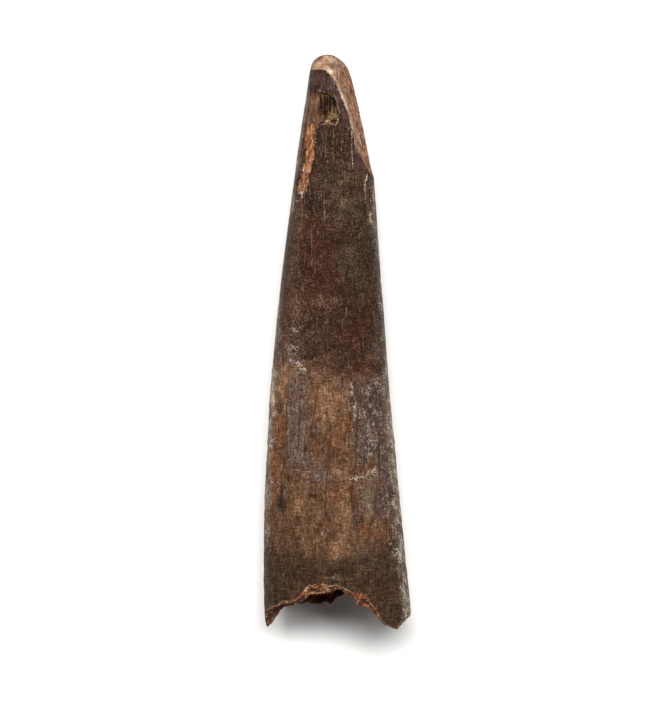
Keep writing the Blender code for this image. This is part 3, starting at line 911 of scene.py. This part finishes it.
def build_mesh(name, rows, apex, inner_apex):
    """A closed grid of rows round the tooth, with a fan of triangles at each end."""
    count, columns = rows.shape[:2]
    points = np.concatenate([rows.reshape(-1, 3), [apex], [inner_apex]])
    first = np.arange(columns)
    after = (first + 1) % columns
    start = (np.arange(count - 1) * columns)[:, None]
    quads = np.stack([start + first, start + after, start + columns + after,
                      start + columns + first], axis=-1).reshape(-1, 4)
    top, bottom = count * columns, count * columns + 1
    last = (count - 1) * columns
    fan_top = np.column_stack([np.full(columns, top), after, first])
    fan_bottom = np.column_stack([np.full(columns, bottom), last + first, last + after])
    mesh = bpy.data.meshes.new(name)
    faces = quads.tolist() + fan_top.tolist() + fan_bottom.tolist()
    mesh.from_pydata(points.tolist(), [], faces)
    mesh.shade_smooth()
    return mesh


def paint_fields(mesh, fields):
    """Stores each field on the mesh's points, and 0 on the broken face and in the cavity."""
    for name, values in fields.items():
        whole = np.zeros(len(mesh.vertices), dtype=np.float32)
        whole[: values.size] = values.ravel()
        mesh.attributes.new(name, "FLOAT", "POINT").data.foreach_set("value", whole)


def hand_out_materials(mesh, skin_rows, columns, total_rows):
    """Material 0 for the skin, 1 for the broken face and 2 for the cavity, by a face's row."""
    row = np.arange(total_rows - 1).repeat(columns)
    index = np.where(row < skin_rows - 1, 0, np.where(row < skin_rows + BREAK_ROWS, 1, 2))
    index = np.concatenate([index, np.zeros(columns), np.full(columns, 2)]).astype(np.int32)
    mesh.polygons.foreach_set("material_index", index)


# ---------------------------------------------------------------- materials

# Sockets that go by number. A Mix node of colours: the share, both colours and the result. A
# Map Range node: the value, the low and the high end of its range, and of the range it comes to
MIX_SHARE, MIX_UNDER, MIX_OVER, MIX_RESULT = 0, 6, 7, 2
VALUE, FROM_LOW, FROM_HIGH, TO_LOW, TO_HIGH = 0, 1, 2, 3, 4

# A noise from 0 to 1: the size of its lumps in mm, its detail and roughness, how many times
# longer the lumps are down the tooth and round it, and how much they wind
Grain = namedtuple(
    "Grain", "size detail roughness along across bend", defaults=(0.55, 1.0, 1.0, 0.0)
)
SKIN_GRAINS = {
    "blotch": Grain(3.2, 3.0, bend=0.5),
    "mottle": Grain(0.95, 5.0, 0.65),
    "fine": Grain(0.16, 3.0, 0.7),
    "streak": Grain(0.16, 3.0, 0.6, along=5.0, bend=0.6),
    "fibre": Grain(0.50, 4.0, 0.6, along=2.5, bend=0.5),
    "ring": Grain(0.16, 3.0, 0.6, across=4.0, bend=0.6),
    "lump": Grain(0.24, 3.0, 0.6, across=2.0, bend=1.0),
    "hair": Grain(0.10, 1.0, along=40.0, bend=0.1),
    "weave": Grain(0.10, 1.0, across=14.0, bend=0.2),
    "warp": Grain(0.13, 2.0, along=5.0, bend=0.5),
    "weft": Grain(0.13, 2.0, across=3.0, bend=0.5),
    "curl": Grain(0.45, 1.5, bend=1.2),
    "patch": Grain(0.8, 3.0),
}
UNSTAINED = ((0.36, "#27170d"), (0.47, "#2e1b10"), (0.55, "#372114"), (0.66, "#442c1c"))

# A layer of colour on the tooth: the field that says where it lies, the noise that breaks
# up its border and by how much, where the border starts and ends, the most it covers, the
# pattern that its own colours follow, and those colours at their places along it
Layer = namedtuple("Layer", "field edge_noise spread low high most pattern stops")

STAIN_LAYERS = (
    Layer("oxide", "mottle", 0.6, 0.05, 0.95, 0.9, "mottle", ((0.35, "#29130a"), (0.65, "#391d0f"))),
    Layer("umber", "mottle", 0.5, 0.00, 0.95, 0.9, "mottle", ((0.35, "#3e271a"), (0.65, "#543a28"))),
    Layer("olive", "mottle", 0.7, 0.05, 0.90, 0.8, "mottle", ((0.35, "#271f14"), (0.65, "#3b2f20"))),
    Layer("root", "mottle", 0.9, 0.15, 0.85, 1.0, "fibre",
          ((0.32, "#473120"), (0.50, "#523927"), (0.68, "#5f4430"))),
    Layer("tan", "mottle", 0.7, 0.05, 0.80, 0.9, "fibre", ((0.32, "#694b35"), (0.68, "#7e5d44"))),
    Layer("moss", "mottle", 0.7, 0.05, 0.85, 0.9, "fibre", ((0.32, "#473b2e"), (0.68, "#72614d"))),
    Layer("mauve", "mottle", 0.7, 0.05, 0.85, 0.9, "fibre", ((0.32, "#47362c"), (0.68, "#66524a"))),
    Layer("grey", "mottle", 0.8, 0.10, 0.85, 0.95, "fleck",
          ((0.34, "#40302a"), (0.58, "#55443c"), (0.86, "#776860"))),
    Layer("rust", "mottle", 0.7, 0.05, 0.85, 0.9, "fibre",
          ((0.30, "#4e2f1e"), (0.50, "#633f29"), (0.70, "#7e5639"))),
    Layer("red", "mottle", 0.7, 0.10, 0.85, 0.9, "fibre", ((0.32, "#3c2014"), (0.68, "#573323"))),
    Layer("foot", "mottle", 0.8, 0.10, 0.95, 0.9, "fibre",
          ((0.32, "#231810"), (0.50, "#302014"), (0.68, "#412f20"))),
    Layer("soot", "fine", 0.8, 0.20, 0.85, 0.92, "fine", ((0.35, "#170e09"), (0.70, "#332419"))),
)
WEAR_LAYERS = (
    # Dust on the flanks, partly a painted sheen along their edges
    Layer("dust_and_sheen", "fine", 1.8, 0.32, 1.02, 0.85, "fleck",
          ((0.36, "#655648"), (0.52, "#918173"), (0.70, "#bcad9d"))),
    Layer("facet", "fine", 0.3, 0.35, 0.65, 1.0, "streak",
          ((0.37, "#3b2215"), (0.46, "#5b3b27"), (0.54, "#805639"), (0.64, "#ac886b"))),
    Layer("flame", "fine", 0.8, 0.25, 0.80, 0.95, "streak",
          ((0.38, "#7a3f1c"), (0.50, "#b06c3c"), (0.62, "#d8a677"))),
    Layer("shade", "fine", 0.7, 0.30, 0.85, 0.9, "streak", ((0.36, "#2c1b17"), (0.66, "#4f3632"))),
    Layer("cap", "fine", 0.9, 0.30, 0.80, 1.0, "mottle",
          ((0.36, "#482f20"), (0.48, "#73513a"), (0.60, "#9c826b"))),
    Layer("apron", "fine", 0.6, 0.30, 0.85, 0.9, "fibre",
          ((0.36, "#3d2519"), (0.50, "#5b3c2a"), (0.64, "#7c5a42"))),
    Layer("pit", "fine", 0.2, 0.35, 0.60, 1.0, "mottle",
          ((0.38, "#1c0e06"), (0.50, "#3a2314"), (0.62, "#664728"))),
    Layer("gold", "fine", 0.9, 0.35, 0.80, 1.0, "fine", ((0.35, "#3c2c1a"), (0.65, "#7e6440"))),
    # Painted shade, near black, in the grooves, and a painted shadow beside the spall
    Layer("shaded_groove", "fine", 0.5, 0.22, 0.78, 0.95, "fine", ((0.35, "#170803"), (0.70, "#2a130b"))),
    Layer("ember", "fine", 0.9, 0.25, 0.85, 0.95, "streak",
          ((0.38, "#47200f"), (0.47, "#6c3b21"), (0.54, "#8d5836"), (0.64, "#bb8e6a"))),
    Layer("rim", "fine", 1.4, 0.40, 1.05, 0.9, "fine",
          ((0.38, "#241009"), (0.48, "#5a2c1a"), (0.57, "#8e5435"), (0.66, "#cfa67d"))),
    # Pale crests and specks; along the facet's left border partly a painted highlight
    Layer("pale", "fine", 2.0, 0.45, 1.30, 0.95, "mottle",
          ((0.36, "#7d6250"), (0.50, "#ac8f79"), (0.62, "#dccab8"))),
    Layer("edge_lip", "mottle", 1.8, 0.45, 1.05, 0.9, "fine", ((0.35, "#6a4a37"), (0.65, "#b0957c"))),
    Layer("root", "hair", 4.0, 1.35, 1.95, 0.45, "fine", ((0.35, "#21140c"), (0.65, "#3a281b"))),
    Layer("root", "weave", 4.0, 1.45, 2.05, 0.35, "fine", ((0.35, "#6f5440"), (0.65, "#8d7159"))),
    Layer("brushed", "weave", 4.5, 1.15, 1.85, 0.4, "fine", ((0.35, "#150b06"), (0.65, "#22160e"))),
    Layer("brushed", "hair", 4.5, 1.15, 1.75, 0.45, "fine", ((0.35, "#66544a"), (0.65, "#8b776b"))),
    Layer("chalk", "fleck", 1.6, 0.60, 1.15, 0.75, "fine", ((0.35, "#7f7166"), (0.65, "#c0b3a6"))),
    Layer("scratch", "fine", 1.0, 0.25, 1.15, 0.7, "fine", ((0.35, "#6b5446"), (0.65, "#998372"))),
    Layer("crack", "fine", 1.2, 0.30, 0.90, 0.85, "fine", ((0.35, "#1a0f09"), (0.65, "#2c1c12"))),
)
# Light and dark over all the skin: each pattern doubled and raised to a power, multiplied
SHADING = (("fine", 3.0), ("ring", 0.7), ("streak", 0.8), ("mottle", 0.2))
GREYING = -0.3  # the power of that light and dark by which the colour's richness is scaled
# The skin's roughness, from its smoothest grain to its roughest, and what some fields add
SATIN, DULL = 0.46, 0.62
DULLING = (("root", 0.14), ("facet", 0.10), ("chalk", 0.20))
MOTTLE_SHARE = 0.4  # of the mix of blotches and mottle that the unstained colours follow
STREAK_RELIEF, FINE_RELIEF = 0.5, 1.6  # next to the rings' relief, which counts as 1
RELIEF_DEPTH = 0.05  # of the finest relief, which is only in the shading, in mm

# A broken surface: three patterns, the colours that follow the first, as its relief does,
# the coat's colours that follow the second, where along the third the coat starts and is full,
# the relief's depth in mm and its strength, and the roughness
Crumbly = namedtuple("Crumbly", "grains body coat start full depth strength roughness")
DENTINE = Crumbly(
    (Grain(0.30, 4.0, 0.7), Grain(0.30, 4.0, 0.7), Grain(1.0, 2.0)),
    ((0.36, "#2b1208"), (0.46, "#6a3820"), (0.55, "#9c6640"), (0.66, "#e0c096")),
    ((0.35, "#260f07"), (0.52, "#55291a"), (0.68, "#8a5236")),
    start=0.44, full=0.52, depth=0.10, strength=0.9, roughness=0.85,
)
CAVITY_WALL = Crumbly(
    (Grain(0.8, 4.0, 0.6), Grain(0.25, 3.0), Grain(0.8, 4.0, 0.6)),
    ((0.36, "#1d0b06"), (0.50, "#471a0e"), (0.64, "#7a4227")),
    ((0.35, "#5a4230"), (0.65, "#92775a")),
    start=0.60, full=0.68, depth=0.15, strength=0.7, roughness=0.8,
)


def colour(hex_code):
    """An sRGB hex colour as linear red, green, blue and full alpha."""
    parts = [int(hex_code[start:start + 2], 16) / 255.0 for start in (1, 3, 5)]
    linear = [part / 12.92 if part <= 0.04045 else ((part + 0.055) / 1.055) ** 2.4
              for part in parts]
    return (*linear, 1.0)


def add(tree, kind, sockets=None, stops=None, **settings):
    """Adds a shader node with its settings, and sets or links its sockets by name or number.

    A node given for a socket is linked from its first output.
    """
    node = tree.nodes.new("ShaderNode" + kind)
    for name, value in settings.items():
        setattr(node, name, value)
    for key, value in (sockets or {}).items():
        if isinstance(value, bpy.types.Node):
            value = value.outputs[0]
        if isinstance(value, bpy.types.NodeSocket):
            tree.links.new(value, node.inputs[key])
        else:
            node.inputs[key].default_value = value
    if stops:
        ramp = node.color_ramp
        while len(ramp.elements) < len(stops):
            ramp.elements.new(0.5)
        for element, (position, hex_code) in zip(ramp.elements, stops):
            element.position = position
            element.color = colour(hex_code)
    return node


def empty_tree(holder):
    """The node tree of a new material or world, without the nodes that it starts with."""
    holder.use_nodes = True
    holder.node_tree.nodes.clear()
    return holder.node_tree


def in_millimetres(tree):
    """Object coordinates in millimetres."""
    place = add(tree, "TexCoord").outputs["Object"]
    return add(tree, "VectorMath", {0: place, "Scale": 1.0 / MM}, operation="SCALE")


def grain_pattern(tree, place, grain):
    """A noise by its row: its lumps are stretched by scaling the place down along them."""
    across = 1.0 / (grain.size * grain.across)
    scale = (across, 1.0 / (grain.size * grain.along), across)
    mapped = add(tree, "Mapping", {"Vector": place, "Scale": scale})
    return add(tree, "TexNoise", {
        "Vector": mapped, "Scale": 1.0, "Detail": grain.detail,
        "Roughness": grain.roughness, "Distortion": grain.bend,
    })


def fleck_pattern(tree, curl, patch):
    """Short curved flecks: noise is near a half along thin winding lines, and those are kept."""
    centred = add(tree, "Math", {0: curl, 1: -0.5}, operation="ADD")
    off = add(tree, "Math", {0: centred}, operation="ABSOLUTE")
    line = add(tree, "MapRange", {
        VALUE: off, FROM_LOW: 0.0, FROM_HIGH: 0.10, TO_LOW: 1.0, TO_HIGH: 0.25,
    })
    patchy = add(tree, "MapRange", {
        VALUE: patch, FROM_LOW: 0.35, FROM_HIGH: 0.60, TO_LOW: 0.3, TO_HIGH: 1.0,
    })
    return add(tree, "Math", {0: line, 1: patchy}, operation="MULTIPLY")


def skin_patterns(tree, root):
    """The skin's patterns by name.

    On the root the rings give way to lumps, and half the fine grain to a weave, which is the
    mean of two noises that are stretched across one another.
    """
    place = in_millimetres(tree)
    patterns = {name: grain_pattern(tree, place, grain) for name, grain in SKIN_GRAINS.items()}
    patterns["fleck"] = fleck_pattern(tree, patterns["curl"], patterns["patch"])
    patterns["ring"] = add(tree, "Mix", {0: root, 2: patterns["ring"], 3: patterns["lump"]})
    both = add(tree, "Math", {0: patterns["warp"], 1: patterns["weft"]}, operation="ADD")
    woven = add(tree, "Math", {0: both, 1: 0.5}, operation="MULTIPLY")
    share = add(tree, "Math", {0: root, 1: 0.5}, operation="MULTIPLY")
    patterns["fine"] = add(tree, "Mix", {0: share, 2: patterns["fine"], 3: woven})
    return patterns


def lay(tree, under, patterns, layer):
    """Lays one layer over a colour: its field, broken up by noise, is where it covers."""
    field = add(tree, "Attribute", attribute_name=layer.field).outputs["Fac"]
    shift = add(tree, "Math", {0: patterns[layer.edge_noise], 1: -0.5}, operation="ADD")
    broken = add(tree, "Math", {0: shift, 1: layer.spread, 2: field}, operation="MULTIPLY_ADD")
    border = {VALUE: broken, FROM_LOW: layer.low, FROM_HIGH: layer.high, TO_HIGH: layer.most}
    cover = add(tree, "MapRange", border, interpolation_type="SMOOTHSTEP")
    coat = add(tree, "ValToRGB", {0: patterns[layer.pattern]}, layer.stops)
    sockets = {MIX_SHARE: cover, MIX_UNDER: under, MIX_OVER: coat}
    return add(tree, "Mix", sockets, data_type="RGBA").outputs[MIX_RESULT]


def shade_skin(tree, skin, patterns):
    """Growth rings, fibres and grain as light and dark; light grains are greyer, as worn bone is."""
    shade = 1.0
    for name, power in SHADING:
        doubled = add(tree, "Math", {0: patterns[name], 1: 2.0}, operation="MULTIPLY")
        raised = add(tree, "Math", {0: doubled, 1: power}, operation="POWER")
        shade = add(tree, "Math", {0: raised, 1: shade}, operation="MULTIPLY")
    richness = add(tree, "Math", {0: shade, 1: GREYING}, operation="POWER")
    sockets = {"Saturation": richness, "Value": shade, "Color": skin, "Fac": 1.0}
    return add(tree, "HueSaturation", sockets)


def enamel_material():
    """Fossil enamel and cement: dark umber, mineral-stained, satin where the enamel is whole."""
    material = bpy.data.materials.new("fossil_enamel")
    tree = empty_tree(material)
    root = add(tree, "Attribute", attribute_name="root").outputs["Fac"]
    patterns = skin_patterns(tree, root)
    blend = {0: MOTTLE_SHARE, 2: patterns["blotch"], 3: patterns["mottle"]}
    blend = add(tree, "Mix", blend)
    skin = add(tree, "ValToRGB", {0: blend}, UNSTAINED)
    for layer in STAIN_LAYERS:
        skin = lay(tree, skin, patterns, layer)
    skin = shade_skin(tree, skin, patterns)
    for layer in WEAR_LAYERS:
        skin = lay(tree, skin, patterns, layer)

    fine = patterns["fine"]
    height = {0: patterns["streak"], 1: STREAK_RELIEF, 2: patterns["ring"]}
    height = add(tree, "Math", height, operation="MULTIPLY_ADD")
    height = add(tree, "Math", {0: fine, 1: FINE_RELIEF, 2: height}, operation="MULTIPLY_ADD")
    bump = {"Height": height, "Distance": RELIEF_DEPTH * MM, "Strength": 0.8}
    rough = add(tree, "MapRange", {
        VALUE: fine, FROM_LOW: 0.3, FROM_HIGH: 0.7, TO_LOW: SATIN, TO_HIGH: DULL,
    })
    for field, dulling in DULLING:
        value = add(tree, "Attribute", attribute_name=field).outputs["Fac"]
        rough = {0: value, 1: dulling, 2: rough}
        rough = add(tree, "Math", rough, operation="MULTIPLY_ADD", use_clamp=True)
    shader = add(tree, "BsdfPrincipled", {
        "Base Color": skin, "Roughness": rough, "IOR": 1.5, "Specular IOR Level": 0.06,
        "Sheen Weight": 0.05, "Sheen Roughness": 0.25, "Normal": add(tree, "Bump", bump),
    })
    add(tree, "OutputMaterial", {"Surface": shader})
    return material


def crumbly_material(name, looks):
    """A broken surface with next to no gloss, by its row.

    Broken fossil dentine is crumbly and rust-orange with cream grains, darker in patches.
    The pulp cavity's wall is dark red-brown dentine with sandy matrix clinging to it.
    """
    material = bpy.data.materials.new(name)
    tree = empty_tree(material)
    place = in_millimetres(tree)
    patterns = {grain: grain_pattern(tree, place, grain) for grain in looks.grains}
    main, second, patches = [patterns[grain] for grain in looks.grains]
    body = add(tree, "ValToRGB", {0: main}, looks.body)
    coat = add(tree, "ValToRGB", {0: second}, looks.coat)
    cover = add(tree, "MapRange", {VALUE: patches, FROM_LOW: looks.start, FROM_HIGH: looks.full})
    sockets = {MIX_SHARE: cover, MIX_UNDER: body, MIX_OVER: coat}
    both = add(tree, "Mix", sockets, data_type="RGBA").outputs[MIX_RESULT]
    bump = {"Height": main, "Distance": looks.depth * MM, "Strength": looks.strength}
    shader = add(tree, "BsdfPrincipled", {
        "Base Color": both, "Roughness": looks.roughness, "Specular IOR Level": 0.2,
        "Normal": add(tree, "Bump", bump),
    })
    add(tree, "OutputMaterial", {"Surface": shader})
    return material


# ---------------------------------------------------------------- the piece and its stage


def build_tooth():
    """The tooth's surface with its finishes, centred on the solid's box and as low as it."""
    rows, apex, inner_apex, fields = tooth_surface()
    lowest = rows.reshape(-1, 3).min(axis=0)
    highest = rows.reshape(-1, 3).max(axis=0)
    solid_low, solid_high = np.array(LOWEST) / MM, np.array(HIGHEST) / MM
    shift = (solid_low + solid_high - lowest - highest) / 2.0
    shift[2] = solid_low[2] - lowest[2]
    mesh = build_mesh("pterosaur_tooth", (rows + shift) * MM, (apex + shift) * MM,
                      (inner_apex + shift) * MM)
    paint_fields(mesh, fields)
    hand_out_materials(mesh, fields["root"].shape[0], COLUMNS, rows.shape[0])
    mesh.materials.append(enamel_material())
    mesh.materials.append(crumbly_material("broken_dentine", DENTINE))
    mesh.materials.append(crumbly_material("pulp_cavity_wall", CAVITY_WALL))
    tooth = bpy.data.objects.new("pterosaur_tooth", mesh)
    bpy.context.scene.collection.objects.link(tooth)
    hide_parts("tooth")
    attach(tooth, "root")


FLOOR_HALF_SIZE = 1.5  # in metres
FLOOR_WHITE = "#f4f3f1"


def build_floor():
    """A plain floor of white card under the tooth: pale, matt and even."""
    mesh = bpy.data.meshes.new("floor")
    half = FLOOR_HALF_SIZE
    corners = [(-half, -half, 0.0), (half, -half, 0.0), (half, half, 0.0), (-half, half, 0.0)]
    mesh.from_pydata(corners, [], [(0, 1, 2, 3)])
    floor = bpy.data.objects.new("floor", mesh)
    bpy.context.scene.collection.objects.link(floor)
    material = bpy.data.materials.new("white_card")
    tree = empty_tree(material)
    card = {"Base Color": colour(FLOOR_WHITE), "Roughness": 0.9, "Specular IOR Level": 0.1}
    add(tree, "OutputMaterial", {"Surface": add(tree, "BsdfPrincipled", card)})
    mesh.materials.append(material)


# Suns: name, turn from the tip's side towards the left and height, in degrees, then
# the light's width in degrees and its strength
SUNS = (
    ("key", 0.0, 67.0, 22.0, 1.9), ("key_left", 45.0, 61.0, 18.0, 1.25),
    ("key_right", -45.0, 65.0, 20.0, 1.35), ("tip_fill", 0.0, 12.0, 18.0, 2.3),
    ("right_fill", -60.0, 12.0, 18.0, 0.4), ("left_fill", 60.0, 42.0, 18.0, 0.25),
    ("back_fill", 180.0, 25.0, 30.0, 0.2),
)
# The sky's strength straight up and at its rim, and how fast it falls between them
SKY_TOP = 0.03
SKY_RIM = 0.14
SKY_FALL = 3.0


def build_lights():
    """A wide key from three suns on the tip's side, low fills, and a sky bright at its rim.

    The sky is SKY_TOP + (SKY_RIM - SKY_TOP) * (1 - height)^SKY_FALL.
    """
    for name, turn, height, width, strength in SUNS:
        light = bpy.data.lights.new(name, "SUN")
        light.energy = strength
        light.angle = math.radians(width)
        sun = bpy.data.objects.new(name, light)
        sun.rotation_euler = (math.radians(height - 90.0), 0.0, math.radians(turn))
        bpy.context.scene.collection.objects.link(sun)
    world = bpy.data.worlds.new("studio")
    tree = empty_tree(world)
    direction = add(tree, "TexCoord").outputs["Generated"]
    upward = add(tree, "SeparateXYZ", {0: direction}).outputs["Z"]
    low = add(tree, "MapRange", {VALUE: upward, TO_LOW: 1.0, TO_HIGH: 0.0})
    glow = add(tree, "Math", {0: low, 1: SKY_FALL}, operation="POWER")
    strength = {0: glow, 1: SKY_RIM - SKY_TOP, 2: SKY_TOP}
    strength = add(tree, "Math", strength, operation="MULTIPLY_ADD")
    sky = add(tree, "Background", {"Color": (1.0, 1.0, 1.0, 1.0), "Strength": strength})
    add(tree, "OutputWorld", {"Surface": sky})
    bpy.context.scene.world = world


VIEW_CENTRE = (-0.425 * MM, -0.87 * MM, 5.0 * MM)
LENS = 600.0  # in mm, as the sensor
SENSOR = 36.0
CLIP_START = 0.01


def build_camera():
    """A very long lens that looks straight down on the front of the tooth."""
    camera = bpy.data.cameras.new("camera")
    camera.lens = LENS
    camera.sensor_width = SENSOR
    camera.clip_start = CLIP_START
    camera.dof.use_dof = False
    x, y, z = VIEW_CENTRE
    holder = bpy.data.objects.new("camera", camera)
    holder.location = (x, y, z + FRAME_HEIGHT * MM * LENS / SENSOR)
    bpy.context.scene.collection.objects.link(holder)
    bpy.context.scene.camera = holder


def main():
    build_tooth()
    build_floor()
    build_lights()
    build_camera()
    bpy.context.scene.view_settings.view_transform = "Standard"
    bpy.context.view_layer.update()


main()
